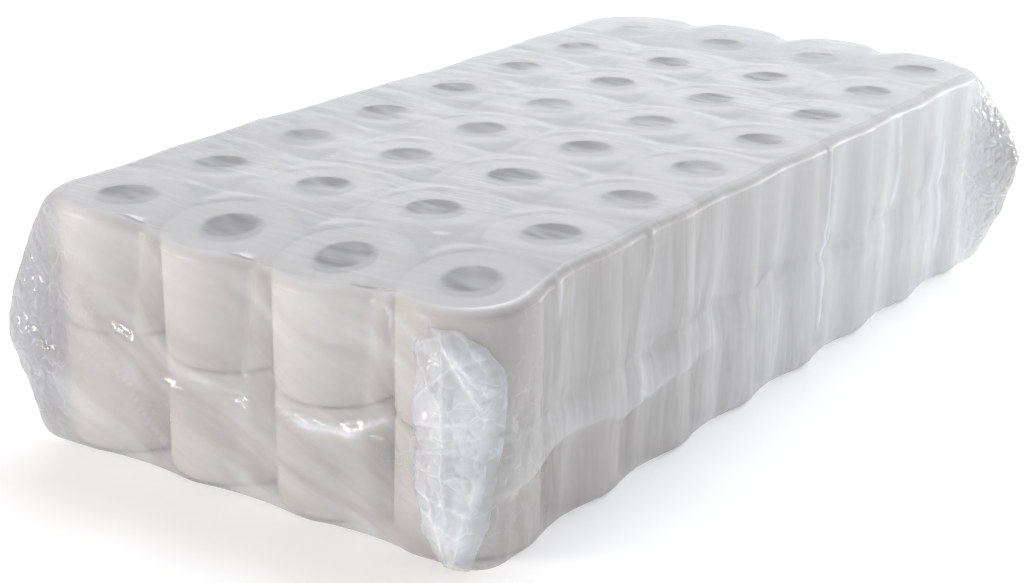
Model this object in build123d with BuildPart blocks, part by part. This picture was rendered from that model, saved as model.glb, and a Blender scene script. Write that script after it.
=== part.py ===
"""Toilet paper roll pack: rolls standing on end, close together, in one film bag.

The bag holds layers of 4 x 8 rolls, one layer on the other. It is a length of film tube
whose two short ends are welded flat at half height, so that an ear of spare film stands
out at each upright corner. Each roll is one wound strip of tissue on a card core.

Millimetres. The origin is the middle of the face that the pack stands on, with +X across
the pack, +Y along it and +Z up.
"""

from build123d import *
import os

os.makedirs("parts", exist_ok=True)

# ---- how many rolls -------------------------------------------------------------------
columns = 4  # across the pack, along X
rows = 8  # along the pack, along Y

# ---- rolls and cores ------------------------------------------------------------------
roll_diameter = 102.0
roll_width = 94.0  # along the core, so the height of a roll that stands on end
roll_rim_radius = 2.5  # soft outer edge at both ends of a roll
roll_gap = 0.5  # between neighbouring rolls in a layer
layer_clearance = 0.2  # under each layer: on the film, and on the layer beneath
core_outer_diameter = 42.0
core_wall = 0.8
core_clearance = 0.1  # all round a core, inside the innermost turn

# ---- film bag -------------------------------------------------------------------------
film_thickness = 0.3
film_clearance = 0.3  # between the film's inside and the rolls, at the sides and the top
end_slack = 18.0  # how far each welded end bulges at half height
ear_reach = 24.0  # how far an ear stands out past the long side
ear_run = 6.0  # how far an ear stands out past the short end
weld_depth = 6.0  # flat strip of welded film that stands out from each short end
weld_layers = 2  # layers of film in the strip

# ---- what follows from them -----------------------------------------------------------
pitch = roll_diameter + roll_gap
bore_diameter = core_outer_diameter + 2 * core_clearance
film_standoff = film_clearance + film_thickness
half_width = (columns - 1) / 2 * pitch + roll_diameter / 2 + film_standoff
half_length = (rows - 1) / 2 * pitch + roll_diameter / 2 + film_standoff
corner_radius = roll_diameter / 2 + film_standoff  # the film goes round the corner rolls
edge_radius = roll_rim_radius + film_standoff  # and over the rims of the rolls
lower_base = film_thickness + layer_clearance
upper_base = lower_base + roll_width + layer_clearance
bag_height = upper_base + roll_width + film_standoff
seam_height = bag_height / 2

column_places = [(column - (columns - 1) / 2) * pitch for column in range(columns)]
row_places = [(row - (rows - 1) / 2) * pitch for row in range(rows)]


def make_rolls(label, places, base):
    """One tissue roll, with its bore, at each of the places, standing at the base height."""
    with BuildPart() as rolls:
        with BuildSketch(Plane.XY.offset(base)):
            with Locations(*places):
                Circle(roll_diameter / 2)
                Circle(bore_diameter / 2, mode=Mode.SUBTRACT)
        extrude(amount=roll_width)
        rims = rolls.edges().filter_by(GeomType.CIRCLE).group_by(SortBy.RADIUS)[-1]
        fillet(rims, radius=roll_rim_radius)
    rolls.part.label = label
    export_step(rolls.part, f"parts/{label}.step")


def make_cores(label, places, base):
    """One card core at each of the places, as long as the roll around it."""
    with BuildPart() as cores:
        with BuildSketch(Plane.XY.offset(base)):
            with Locations(*places):
                Circle(core_outer_diameter / 2)
                Circle(core_outer_diameter / 2 - core_wall, mode=Mode.SUBTRACT)
        extrude(amount=roll_width)
    cores.part.label = label
    export_step(cores.part, f"parts/{label}.step")


def flat_section(height, inset):
    """Plan of the bag at its top or bottom: straight sides, round the corner rolls."""
    x = half_width - corner_radius
    y = half_length - corner_radius
    radius = corner_radius - inset
    with BuildSketch(Plane.XY.offset(height)) as section:
        with BuildLine():
            Line((x + radius, -y), (x + radius, y))
            Line((x, y + radius), (-x, y + radius))
            Line((-x - radius, y), (-x - radius, -y))
            Line((-x, -y - radius), (x, -y - radius))
            for quarter, centre in enumerate(((x, y), (-x, y), (-x, -y), (x, -y))):
                CenterArc(centre, radius, 90 * quarter, 45)
                CenterArc(centre, radius, 90 * quarter + 45, 45)
        make_face()
    return section.sketch


def seam_section(inset):
    """Plan of the bag at the seam: each end bulges, and each corner runs out to an ear."""
    corner = (
        (half_width - inset, half_length - corner_radius),
        (half_width + ear_reach - 2 * inset, half_length + ear_run - inset),
        (half_width - corner_radius, half_length + end_slack - inset),
    )
    rear_left = [(-x, y) for x, y in reversed(corner)]
    front_left = [(-x, -y) for x, y in corner]
    front_right = [(x, -y) for x, y in reversed(corner)]
    with BuildSketch(Plane.XY.offset(seam_height)) as section:
        with BuildLine():
            Polyline(*corner, *rear_left, *front_left, *front_right, close=True)
        make_face()
    return section.sketch


def bag_form(inset):
    """Closed form of the bag, with every face drawn in by the inset: an upright band round
    the top and the bottom rims, and two ruled parts that run from them to the seam."""
    band = 2 * edge_radius
    with BuildPart() as form:
        extrude(flat_section(inset, inset), amount=band - inset)
        extrude(flat_section(bag_height - band, inset), amount=band - inset)
        by_height = form.edges().group_by(Axis.Z)
        fillet(by_height[0] + by_height[-1], radius=edge_radius - inset)
        loft((flat_section(band, inset), seam_section(inset)), ruled=True)
        loft((seam_section(inset), flat_section(bag_height - band, inset)), ruled=True)
    return form.part


# ---- rolls and cores ------------------------------------------------------------------
# The rolls of the upper layer are a node each. The layer under it and the cores are a
# node for each row across the pack.
for row, y in enumerate(row_places, start=1):
    row_of_places = [(x, y) for x in column_places]
    for column, place in enumerate(row_of_places, start=1):
        make_rolls(f"upper_roll_r{row}_c{column}", [place], upper_base)
    make_rolls(f"lower_rolls_row_{row}", row_of_places, lower_base)
    make_cores(f"upper_cores_row_{row}", row_of_places, upper_base)
    make_cores(f"lower_cores_row_{row}", row_of_places, lower_base)

# ---- film bag -------------------------------------------------------------------------
outer_form = bag_form(0)
inner_form = bag_form(film_thickness)
weld_thickness = weld_layers * film_thickness

with BuildPart() as film_bag:
    add(outer_form)
    with BuildSketch(Plane.XY.offset(seam_height - weld_thickness / 2)):
        Rectangle(
            2 * (half_width - corner_radius),
            2 * (half_length + end_slack + weld_depth),
        )
    extrude(amount=weld_thickness)
    add(inner_form, mode=Mode.SUBTRACT)
film_bag.part.label = "film_bag"
export_step(film_bag.part, "parts/film_bag.step")
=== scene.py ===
"""Looks of the toilet paper roll pack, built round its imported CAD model.

Tissue rolls wound on card cores stand on end in two layers inside one film bag. Every
length here is in metres, in the CAD model's frame: +X across the pack, +Y along it, +Z up,
with the pack standing on z = 0.
"""

import math
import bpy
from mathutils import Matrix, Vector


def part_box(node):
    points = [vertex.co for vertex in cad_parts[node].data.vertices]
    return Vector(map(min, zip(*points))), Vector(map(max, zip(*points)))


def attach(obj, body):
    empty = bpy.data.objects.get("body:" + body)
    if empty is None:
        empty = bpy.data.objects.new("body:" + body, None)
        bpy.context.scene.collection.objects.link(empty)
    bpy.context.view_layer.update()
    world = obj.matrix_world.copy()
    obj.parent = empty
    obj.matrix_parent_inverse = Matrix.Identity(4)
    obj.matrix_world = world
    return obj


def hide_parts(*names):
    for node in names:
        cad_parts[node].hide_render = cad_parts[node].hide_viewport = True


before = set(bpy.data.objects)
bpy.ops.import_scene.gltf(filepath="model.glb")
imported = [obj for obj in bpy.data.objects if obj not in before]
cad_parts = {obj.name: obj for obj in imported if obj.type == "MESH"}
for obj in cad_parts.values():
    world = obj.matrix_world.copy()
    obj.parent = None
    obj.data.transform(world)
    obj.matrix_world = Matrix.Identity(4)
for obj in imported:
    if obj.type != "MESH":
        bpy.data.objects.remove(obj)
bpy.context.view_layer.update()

from types import SimpleNamespace

import bpy
import numpy as np
from mathutils import Matrix, Vector

bl_info = {
    "name": "Toilet paper roll pack",
    "version": (1, 0, 0),
    "blender": (4, 5, 0),
    "location": "3D View > Sidebar > Roll Pack",
    "description": "Tissue rolls, card cores, film bag and studio for a roll pack",
    "category": "Add Mesh",
}

MM = 0.001

# ---- what the CAD model gives ---------------------------------------------------------
ROWS = 8
COLUMNS = 4


def node_middle(node):
    """Middle of a CAD node's box."""
    low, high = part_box(node)
    return (Vector(low) + Vector(high)) / 2


FIRST_LOW, FIRST_HIGH = (Vector(corner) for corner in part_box("upper_roll_r1_c1"))
LAST_HIGH = Vector(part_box(f"upper_roll_r{ROWS}_c{COLUMNS}")[1])
ROLL_RADIUS = (FIRST_HIGH.x - FIRST_LOW.x) / 2
ROLL_WIDTH = FIRST_HIGH.z - FIRST_LOW.z
UPPER_BASE = FIRST_LOW.z
LOWER_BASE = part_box("lower_rolls_row_1")[0][2]
COLUMN_X = [node_middle(f"upper_roll_r1_c{c}").x for c in range(1, COLUMNS + 1)]
ROW_Y = [node_middle(f"upper_roll_r{r}_c1").y for r in range(1, ROWS + 1)]
PITCH = COLUMN_X[1] - COLUMN_X[0]
CORE_LOW, CORE_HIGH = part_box("upper_cores_row_1")
CORE_RADIUS = (CORE_HIGH[1] - CORE_LOW[1]) / 2
FILM_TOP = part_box("film_bag")[1][2]
FILM_STANDOFF = FILM_TOP - LAST_HIGH.z
HALF_WIDTH = LAST_HIGH.x + FILM_STANDOFF
HALF_LENGTH = LAST_HIGH.y + FILM_STANDOFF
SEAM_HEIGHT = FILM_TOP / 2

# ---- how the pack has settled ---------------------------------------------------------
FRONT_DROP = (0.0, 0.0105, 0.0150, 0.0090)  # sink of each column's front rim, at the top
FRONT_REACH = 0.115  # how far back from the front the sink runs out
FRONT_LEAN = 0.0070  # sideways lean of the last column's front roll, at the top
SINK_POWER = 0.6  # how the sink grows with height
TOP_SAG = 0.0022  # slow unevenness of the top


# ---- settings -------------------------------------------------------------------------
def number_setting(name, description, default, **kind):
    """A setting that is one number."""
    return bpy.props.FloatProperty(name=name, description=description, default=default, **kind)


def length_setting(name, description, default):
    """A setting in metres."""
    return number_setting(name, description, default, unit="LENGTH")


def share_setting(name, description, default):
    """A setting from 0 to 1."""
    return number_setting(name, description, default, subtype="FACTOR")


def angle_setting(name, description, degrees):
    """A setting that is an angle."""
    return number_setting(name, description, math.radians(degrees), subtype="ANGLE")


def colour_setting(description, default):
    """A colour setting."""
    return bpy.props.FloatVectorProperty(
        name="Colour", description=description, default=default, size=3, subtype="COLOR"
    )


class RollSettings(bpy.types.PropertyGroup):
    """Sizes and finish of the tissue rolls."""

    bore_clearance: length_setting("Bore Clearance", "Room round a core", 0.1 * MM)
    rim_radius: length_setting("Rim Radius", "Soft edge at a roll's ends", 7 * MM)
    press: length_setting("Press", "How far the film presses a roll in", 0.5 * MM)
    softness: length_setting("Softness", "How far the paper gives", 0.9 * MM)
    # Greyer than the paper's own white: painted shade of the film over the rolls, which casts no
    # shadow.
    colour: colour_setting("Tissue", (0.68, 0.655, 0.63))


class CoreSettings(bpy.types.PropertyGroup):
    """Sizes and finish of the card cores."""

    wall: length_setting("Wall", "Thickness of the card", 0.8 * MM)
    strip: length_setting("Strip", "Width of the wound strip", 55 * MM)
    # Darker than bare card: partly its own grey, partly painted shade in the core holes.
    colour: colour_setting("Card", (0.15, 0.142, 0.132))


class FilmSettings(bpy.types.PropertyGroup):
    """Drape and finish of the film."""

    valley: length_setting("Valley", "Sag between rolls on a long side", 7 * MM)
    hole_sag: length_setting("Hole Sag", "Sag over a core", 1.0 * MM)
    gap_sag: length_setting("Gap Sag", "Sag between four rolls", 2.6 * MM)
    end_valley: length_setting("End Valley", "Draw between columns at an end's upper rim", 18 * MM)
    streak: length_setting("Streak", "Height of the tension wrinkles", 1.3 * MM)
    top_haze: share_setting("Top Haze", "How milky the top is", 0.86)
    side_haze: share_setting("Side Haze", "How milky a long side is", 0.68)
    end_haze: share_setting("End Haze", "How milky a short end is", 0.51)
    ear_haze: share_setting("Ear Haze", "How milky the folded ear is", 0.80)
    colour: colour_setting("Film", (0.585, 0.597, 0.624))


class StageSettings(bpy.types.PropertyGroup):
    """Camera and floor."""

    azimuth: angle_setting("Azimuth", "Camera, from +Y towards -X", 34.31)
    elevation: angle_setting("Elevation", "Camera above the horizon", 19.18)
    roll: angle_setting("Roll", "Camera tilt about its own line of sight", 0.37)
    distance: length_setting("Distance", "Camera to its aim", 1.278)
    lens: number_setting("Lens", "Focal length, mm", 70.9)
    floor_size: length_setting("Floor Size", "Half the width of the floor", 12.0)
    colour: colour_setting("Floor", (0.92, 0.92, 0.92))


# ---- helpers --------------------------------------------------------------------------
def add_node(tree, kind, inputs=None, **settings):
    """Adds a node, sets it up and fills its inputs with links or values."""
    node = tree.nodes.new(kind)
    for name, value in settings.items():
        setattr(node, name, value)
    for key, value in (inputs or {}).items():
        if isinstance(value, bpy.types.NodeSocket):
            tree.links.new(value, node.inputs[key])
        else:
            node.inputs[key].default_value = value
    return node


def maths(tree, operation, first, second=0.0, third=0.0):
    """One Math node's result."""
    kind = "ShaderNodeMath"
    node = add_node(tree, kind, {0: first, 1: second, 2: third}, operation=operation)
    return node.outputs[0]


def summed(tree, base, *terms):
    """A base, with each value times its weight added in turn."""
    for value, weight in terms:
        base = maths(tree, "MULTIPLY_ADD", value, weight, base)
    return base


def noise(tree, place, scale, detail=2.0, distortion=0.0):
    """Smooth noise about 0.5."""
    inputs = {"Vector": place, "Scale": scale, "Detail": detail, "Distortion": distortion}
    return add_node(tree, "ShaderNodeTexNoise", inputs).outputs["Fac"]


def swing(tree, value):
    """Noise about 0.5, moved to swing about 0."""
    return maths(tree, "SUBTRACT", value, 0.5)


def remap(tree, value, start, stop, first, last):
    """A value's run from start to stop, stretched over first to last."""
    inputs = {"Value": value, "From Min": start, "From Max": stop, "To Min": first, "To Max": last}
    return add_node(tree, "ShaderNodeMapRange", inputs).outputs[0]


def slanted(tree, place, degrees, size):
    """A place in a frame turned about the pack's length, and measured in cells of a size."""
    inputs = {"Vector": place, "Rotation": (0, math.radians(degrees), 0), "Scale": size}
    kind = "ShaderNodeMapping"
    return add_node(tree, kind, inputs, vector_type="TEXTURE").outputs["Vector"]


def attribute(tree, name):
    """A number that was stored on the mesh."""
    return add_node(tree, "ShaderNodeAttribute", attribute_name=name).outputs["Fac"]


def object_place(tree):
    """The place in the pack's own frame."""
    return add_node(tree, "ShaderNodeTexCoord").outputs["Object"]


def bump(tree, shader, height, strength, distance):
    """Relief on a shader's surface."""
    inputs = {"Height": height, "Strength": strength, "Distance": distance}
    relief = add_node(tree, "ShaderNodeBump", inputs)
    tree.links.new(relief.outputs["Normal"], shader.inputs["Normal"])


def set_inputs(shader, values):
    """Sets plain numbers and colours on a shader's own sockets."""
    for name, value in values.items():
        shader.inputs[name].default_value = value


def smooth_step(value):
    """0 below 0, 1 above 1, and a smooth rise between."""
    value = np.clip(value, 0, 1)
    return value * value * (3 - 2 * value)


def climb(value, start, run):
    """0 before the start, 1 a run past it; a run below 0 climbs the other way."""
    return smooth_step((value - start) / run)


def bell(value, middle, width):
    """1 at the middle, and a smooth fall to 0 on both sides."""
    return np.exp(-(((value - middle) / width) ** 2))


def soft_noise(u, v, seed):
    """Smooth noise from -1 to 1, on a lattice with a cell of 1."""
    size = 128
    table = np.random.default_rng(seed).uniform(-1, 1, (size, size))
    i, j = np.floor(u).astype(int), np.floor(v).astype(int)
    a, b = smooth_step(u - i), smooth_step(v - j)
    near = table[i % size, j % size] * (1 - a) + table[(i + 1) % size, j % size] * a
    far = table[i % size, (j + 1) % size] * (1 - a) + table[(i + 1) % size, (j + 1) % size] * a
    return near * (1 - b) + far * b


def line_noise(u, row, seed):
    """Smooth noise from -1 to 1 that changes along one direction only."""
    return soft_noise(u, np.full_like(u, row), seed)


def patches(noise_value):
    """Noise from -1 to 1, moved to run from 0 to 1."""
    return 0.5 + 0.5 * noise_value


def creases(u, v, seed, sharpness=2.0):
    """Noise from 0 to 1 whose crests are narrow, as on creased film."""
    first = 1 - np.abs(soft_noise(u, v, seed))
    second = 1 - np.abs(soft_noise(2.1 * u + 7.3, 2.1 * v + 3.1, seed + 1))
    return (0.68 * first + 0.32 * second) ** sharpness


def settle(points):
    """Moves points with the pack as it has sunk: most at the front rims, none at the floor."""
    x, y, z = points.T
    column = np.clip((x - COLUMN_X[0]) / PITCH, 0, COLUMNS - 1)
    left = np.minimum(column.astype(int), COLUMNS - 2)
    drops = np.array(FRONT_DROP)
    turn = smooth_step(column - left)
    drop = drops[left] * (1 - turn) + drops[left + 1] * turn
    front = climb(y, FRONT_REACH - HALF_LENGTH, -FRONT_REACH)
    height = np.clip(z / FILM_TOP, 0, None) ** SINK_POWER
    sag = TOP_SAG * patches(soft_noise(x / 0.13 + 9, y / 0.17 + 9, 41)) * (z / FILM_TOP)
    lean = FRONT_LEAN * smooth_step(column - (COLUMNS - 2)) * front * height
    moved = points.copy()
    moved[:, 0] += lean
    moved[:, 2] -= drop * front * height + sag
    return moved


def make_mesh(name, points, faces):
    """A smooth-shaded mesh from arrays of points and quads."""
    mesh = bpy.data.meshes.new(name)
    mesh.from_pydata(points.tolist(), [], faces.tolist())
    mesh.validate()
    mesh.polygons.foreach_set("use_smooth", [True] * len(mesh.polygons))
    return mesh


def store(mesh, name, values):
    """Writes a number at each vertex, or the same one at all, for the materials to read."""
    layer = mesh.attributes.new(name, "FLOAT", "POINT")
    every = np.broadcast_to(values, len(mesh.vertices))
    layer.data.foreach_set("value", every.astype(np.float32))


def link(name, data):
    """A new object in the scene."""
    item = bpy.data.objects.new(name, data)
    bpy.context.scene.collection.objects.link(item)
    return item


def add_piece(name, mesh, slot, *nodes):
    """Shows a mesh as a piece of the pack, in place of its CAD nodes."""
    piece = link(name, mesh)
    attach(piece, "root")
    if nodes:
        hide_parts(*nodes)
    return piece


# ---- materials ------------------------------------------------------------------------
TURN_STEP = 1.1 * MM  # paper between two shown turns of a roll
STRIP_SEAM = 0.03  # width of a core's seam, as a share of a turn
GIRTH_STREAKS = (11.0, 85.0, 13.0)  # streaks a metre: close along the pack, long round it
FOLD_SLANT, FOLD_SIZE = 22, (0.12, 0.12, 0.020)  # slope in degrees and size of the folds
BAND_SLANT, BAND_SIZE = 25, (0.20, 0.20, 0.042)  # of the wide bands of doubled film: milkier, and painted lighter and darker as shading of broad folds
CREASE_WANDER = 0.016  # how far the crease lines stray
CREASE_REACH = 0.080  # half width of a crease, as a share of a cell
CREASE_LIMIT = 0.25  # where the relief of a crumpled cell turns flat
LEAST_MILK = 0.43  # no spot of the film is clearer
# Shaded, middle and lit copies of the film's colour, which its painted light and shade run
# through; WARM tints the shaded copy, and COOL tints the near ears' film, where the left one is
# painted darker.
WARM_SHADE, MIDDLE_SHADE, BRIGHT_SHADE = 0.74, 1.22, 1.50
WARM = (1.06, 0.99, 0.94)  # tint of the darkest film
COOL = (0.93, 1.0, 1.08)  # tint of the near ears' film
SMOOTH, RUBBED = 0.14, 0.60  # roughness of calm film, and what rubbed film adds


def new_material(name):
    """An empty material, its tree and its surface shader."""
    material = bpy.data.materials.new(name)
    material.use_nodes = True
    tree = material.node_tree
    return material, tree, tree.nodes["Principled BSDF"]


def tint(tree, factor, low, high):
    """A colour that runs from low to high with the factor."""
    inputs = {0: factor, 6: (*low, 1), 7: (*high, 1)}
    return add_node(tree, "ShaderNodeMix", inputs, data_type="RGBA").outputs[2]


def shade(colour, share):
    """A colour made darker or lighter by a share."""
    return tuple(min(1.0, channel * share) for channel in colour)


def tissue_material(settings):
    """Soft creped paper: fine crepe and pressed dots on the wall, wound turns on the ends."""
    material, tree, shader = new_material("tissue")
    place = object_place(tree)
    radius = attribute(tree, "from_axis")
    turns = maths(tree, "SINE", maths(tree, "MULTIPLY", radius, 2 * math.pi / TURN_STEP))
    dots = add_node(tree, "ShaderNodeTexVoronoi", {"Vector": place, "Scale": 170.0})
    crepe = noise(tree, place, 900.0, 4.0)
    relief = summed(tree, dots.outputs["Distance"], (crepe, 0.5), (turns, 0.12))
    bump(tree, shader, relief, 0.35, 0.4 * MM)
    cloud = noise(tree, place, 28.0, 3.0)
    paper = tint(tree, cloud, shade(settings.colour, 0.95), settings.colour)
    tree.links.new(paper, shader.inputs["Base Color"])
    set_inputs(shader, {"Roughness": 0.9, "Specular IOR Level": 0.25, "Sheen Weight": 0.15})
    return material


def card_material(settings):
    """Grey card: fibres, and the line where one turn of the wound strip meets the next."""
    material, tree, shader = new_material("core_card")
    place = object_place(tree)
    fibre = noise(tree, place, 450.0, 5.0)
    seam = maths(tree, "LESS_THAN", maths(tree, "FRACT", attribute(tree, "wound")), STRIP_SEAM)
    grain = summed(tree, noise(tree, place, 60.0), (fibre, 0.5))
    marks = maths(tree, "SUBTRACT", grain, seam)
    card = tint(tree, marks, shade(settings.colour, 0.7), settings.colour)
    tree.links.new(card, shader.inputs["Base Color"])
    bump(tree, shader, maths(tree, "SUBTRACT", fibre, seam), 0.4, 0.3 * MM)
    set_inputs(shader, {"Roughness": 0.85, "Specular IOR Level": 0.2})
    return material


def film_creases(tree, place, folded):
    """Creased film: how white each crease is, partly its own whitening and partly painted glints,
    and the relief of the cells between them.
    """
    wobble = add_node(tree, "ShaderNodeTexNoise", {"Vector": place, "Scale": 38.0})
    bent_place = add_node(
        tree, "ShaderNodeVectorMath",
        {0: wobble.outputs["Color"], 1: (CREASE_WANDER,) * 3, 2: place},
        operation="MULTIPLY_ADD",
    ).outputs["Vector"]
    cells = add_node(
        tree, "ShaderNodeTexVoronoi", {"Vector": bent_place, "Scale": 85.0},
        feature="DISTANCE_TO_EDGE",
    ).outputs["Distance"]
    lines = remap(tree, cells, 0.0, CREASE_REACH, 1.0, 0.0)
    patch = remap(tree, noise(tree, place, 95.0, 0.0), 0.50, 0.66, 0.0, 1.0)
    white = maths(tree, "MULTIPLY", maths(tree, "MULTIPLY", lines, patch), folded)
    relief = maths(tree, "MULTIPLY", maths(tree, "MINIMUM", cells, CREASE_LIMIT), folded)
    return white, relief


def film_wrinkles(tree, place, slanting):
    """Fine streaks round the girth, and slanting folds on the short ends, about 0.5."""
    girth_place = add_node(
        tree, "ShaderNodeMapping", {"Vector": place, "Scale": GIRTH_STREAKS}
    ).outputs["Vector"]
    streaks = noise(tree, girth_place, 1.0, 4.0, 0.9)
    folds = noise(tree, slanted(tree, place, FOLD_SLANT, FOLD_SIZE), 1.0, 4.0, 0.5)
    mixed = add_node(tree, "ShaderNodeMix", {0: slanting, 2: streaks, 3: folds}).outputs[0]
    calm = remap(tree, noise(tree, place, 7.0, 1.0), 0.40, 0.62, 0.22, 0.78)
    return maths(tree, "MULTIPLY_ADD", swing(tree, mixed), calm, 0.5)


def film_material(settings):
    """Milky glossy film: streaks round the girth, slanting folds on the short ends, creases where
    it is crumpled, and the haze and painted light and shade that its mesh stores; its colour is
    also painted lighter and darker along the wrinkles, bands and creases."""
    material, tree, shader = new_material("film")
    place = object_place(tree)
    folded, slanting = attribute(tree, "folded"), attribute(tree, "slanting")
    wrinkle = film_wrinkles(tree, place, slanting)
    crease, cells = film_creases(tree, place, folded)
    crinkle = maths(tree, "ABSOLUTE", swing(tree, noise(tree, place, 75.0, 1.5)))
    crinkle = maths(tree, "MULTIPLY", crinkle, summed(tree, folded, (slanting, 0.05)))
    height = summed(tree, wrinkle, (cells, 3.2), (crinkle, 5.0))
    bump(tree, shader, height, 0.5, 1.8 * MM)

    wide = noise(tree, slanted(tree, place, BAND_SLANT, BAND_SIZE), 1.0, 2.0, 0.6)
    bands = maths(tree, "MULTIPLY", swing(tree, wide), slanting)
    streaky, cloudy = swing(tree, wrinkle), swing(tree, noise(tree, place, 11.0))
    milk = summed(
        tree, attribute(tree, "haze"),
        (bands, 0.42), (streaky, 0.30), (cloudy, 0.15), (crease, 0.16),
    )
    tree.links.new(maths(tree, "MAXIMUM", milk, LEAST_MILK), shader.inputs["Alpha"])

    # Painted light and shade on the film's colour: the light and shade painted on the mesh,
    # painted shading along the wrinkles and the wide bands, and painted glints along the creases,
    # which are partly whiter of their own.
    painted_light_and_tone = attribute(tree, "painted_light_and_tone")
    painted_brightness = summed(tree, wrinkle, (painted_light_and_tone, 1.2), (bands, 1.3), (crease, 0.6))
    colours = add_node(tree, "ShaderNodeValToRGB", {"Fac": maths(tree, "MULTIPLY", painted_brightness, 0.5)})
    ramp = colours.color_ramp.elements
    warm = (dark * tone for dark, tone in zip(shade(settings.colour, WARM_SHADE), WARM))
    ramp[0].color = (*warm, 1)
    ramp[1].color = (*shade(settings.colour, BRIGHT_SHADE), 1)
    ramp.new(0.5).color = (*shade(settings.colour, MIDDLE_SHADE), 1)
    cooled = add_node(
        tree, "ShaderNodeMix",
        {0: attribute(tree, "cool_shade"), 6: colours.outputs["Color"], 7: (*COOL, 1)},
        data_type="RGBA", blend_type="MULTIPLY",
    ).outputs[2]
    tree.links.new(cooled, shader.inputs["Base Color"])
    rough = maths(tree, "MULTIPLY_ADD", attribute(tree, "rubbed_and_rim_shade"), RUBBED, SMOOTH)
    tree.links.new(rough, shader.inputs["Roughness"])
    set_inputs(shader, {"IOR": 1.5})
    return material


# ---- tissue rolls and cores -----------------------------------------------------------
ROLL_SIDES, CORE_SIDES = 72, 48  # faces round a roll and round a core
PRESS_PATCHES = 22.0  # uneven patches of a pressed roll, a metre
SHARP_ANGLE = math.radians(50)  # edges sharper than this stay sharp


def new_geometry_tree(name, sizes):
    """A Geometry Nodes tree with a mesh input, named size inputs and a material input."""
    tree = bpy.data.node_groups.new(name, "GeometryNodeTree")
    interface = tree.interface
    interface.new_socket("Geometry", in_out="OUTPUT", socket_type="NodeSocketGeometry")
    interface.new_socket("Places", in_out="INPUT", socket_type="NodeSocketGeometry")
    for size in sizes:
        interface.new_socket(size, in_out="INPUT", socket_type="NodeSocketFloat")
    interface.new_socket("Seed", in_out="INPUT", socket_type="NodeSocketInt")
    interface.new_socket("Material", in_out="INPUT", socket_type="NodeSocketMaterial")
    return tree, tree.nodes.new("NodeGroupInput").outputs


def stand_on_places(tree, given, ring, softness):
    """Ends a tree: a ring on each place, turned at random, pressed a little out of true."""
    spin = add_node(
        tree, "FunctionNodeRandomValue",
        {0: (0, 0, 0), 1: (0, 0, 2 * math.pi), "Seed": given["Seed"]}, data_type="FLOAT_VECTOR",
    )
    rings = add_node(
        tree, "GeometryNodeInstanceOnPoints",
        {"Points": given["Places"], "Instance": ring, "Rotation": spin.outputs[0]},
    )
    solid = add_node(tree, "GeometryNodeRealizeInstances", {0: rings.outputs[0]}).outputs[0]
    normal = add_node(tree, "GeometryNodeInputNormal").outputs[0]
    give = add_node(
        tree, "ShaderNodeTexNoise", {"Scale": PRESS_PATCHES, "Detail": 1.5}
    ).outputs["Fac"]
    press = maths(tree, "MULTIPLY", give, maths(tree, "MULTIPLY", softness, -1.0))
    push = add_node(tree, "ShaderNodeVectorMath", {0: normal}, operation="SCALE")
    tree.links.new(press, push.inputs["Scale"])
    solid = add_node(
        tree, "GeometryNodeSetPosition", {"Geometry": solid, "Offset": push.outputs[0]}
    ).outputs[0]
    finished = add_node(
        tree, "GeometryNodeSetMaterial", {"Geometry": solid, "Material": given["Material"]}
    ).outputs[0]
    add_node(tree, "NodeGroupOutput", {0: finished})


def swept_ring(tree, given, middle, profile, sides):
    """A profile swept round a circle and lifted to stand on z = 0."""
    path = add_node(
        tree, "GeometryNodeCurvePrimitiveCircle", {"Resolution": sides, "Radius": middle}
    ).outputs[0]
    ring = add_node(
        tree, "GeometryNodeCurveToMesh", {"Curve": path, "Profile Curve": profile}
    ).outputs[0]
    lift = add_node(
        tree, "ShaderNodeCombineXYZ", {"Z": maths(tree, "MULTIPLY", given["Width"], 0.5)}
    ).outputs[0]
    return add_node(
        tree, "GeometryNodeTransform", {"Geometry": ring, "Translation": lift}
    ).outputs[0]


def keep(tree, geometry, name, value):
    """Stores a field on the geometry under a name that the materials read."""
    return add_node(
        tree, "GeometryNodeStoreNamedAttribute",
        {"Geometry": geometry, "Name": name, "Value": value},
        data_type="FLOAT", domain="POINT",
    ).outputs[0]


def wall_box(tree, given, wall):
    """The section of a ring's wall, as a plain rectangle."""
    return add_node(
        tree, "GeometryNodeCurvePrimitiveQuadrilateral",
        {"Width": wall, "Height": given["Width"]}, mode="RECTANGLE",
    ).outputs[0]


def cut(tree, curve, cuts):
    """A curve with every stretch of it cut into steps."""
    return add_node(
        tree, "GeometryNodeSubdivideCurve", {"Curve": curve, "Cuts": cuts}
    ).outputs[0]


def roll_tree():
    """Geometry Nodes that wind a tissue roll on each place."""
    tree, given = new_geometry_tree(
        "Wound roll", ("Outer Radius", "Bore Radius", "Width", "Rim Radius", "Softness")
    )
    outer, bore = given["Outer Radius"], given["Bore Radius"]
    wall = maths(tree, "SUBTRACT", outer, bore)
    middle = maths(tree, "MULTIPLY", maths(tree, "ADD", outer, bore), 0.5)
    profile = add_node(
        tree, "GeometryNodeFilletCurve",
        {"Curve": wall_box(tree, given, wall), "Radius": given["Rim Radius"], "Count": 3,
         "Limit Radius": True},
        mode="POLY",
    ).outputs[0]
    ring = swept_ring(tree, given, middle, cut(tree, profile, 2), ROLL_SIDES)
    place = add_node(tree, "GeometryNodeInputPosition").outputs[0]
    split = add_node(tree, "ShaderNodeSeparateXYZ", {0: place}).outputs
    flat = add_node(tree, "ShaderNodeCombineXYZ", {"X": split["X"], "Y": split["Y"]}).outputs[0]
    radius = add_node(tree, "ShaderNodeVectorMath", {0: flat}, operation="LENGTH").outputs["Value"]
    ring = keep(tree, ring, "from_axis", radius)
    stand_on_places(tree, given, ring, given["Softness"])
    return tree


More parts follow.
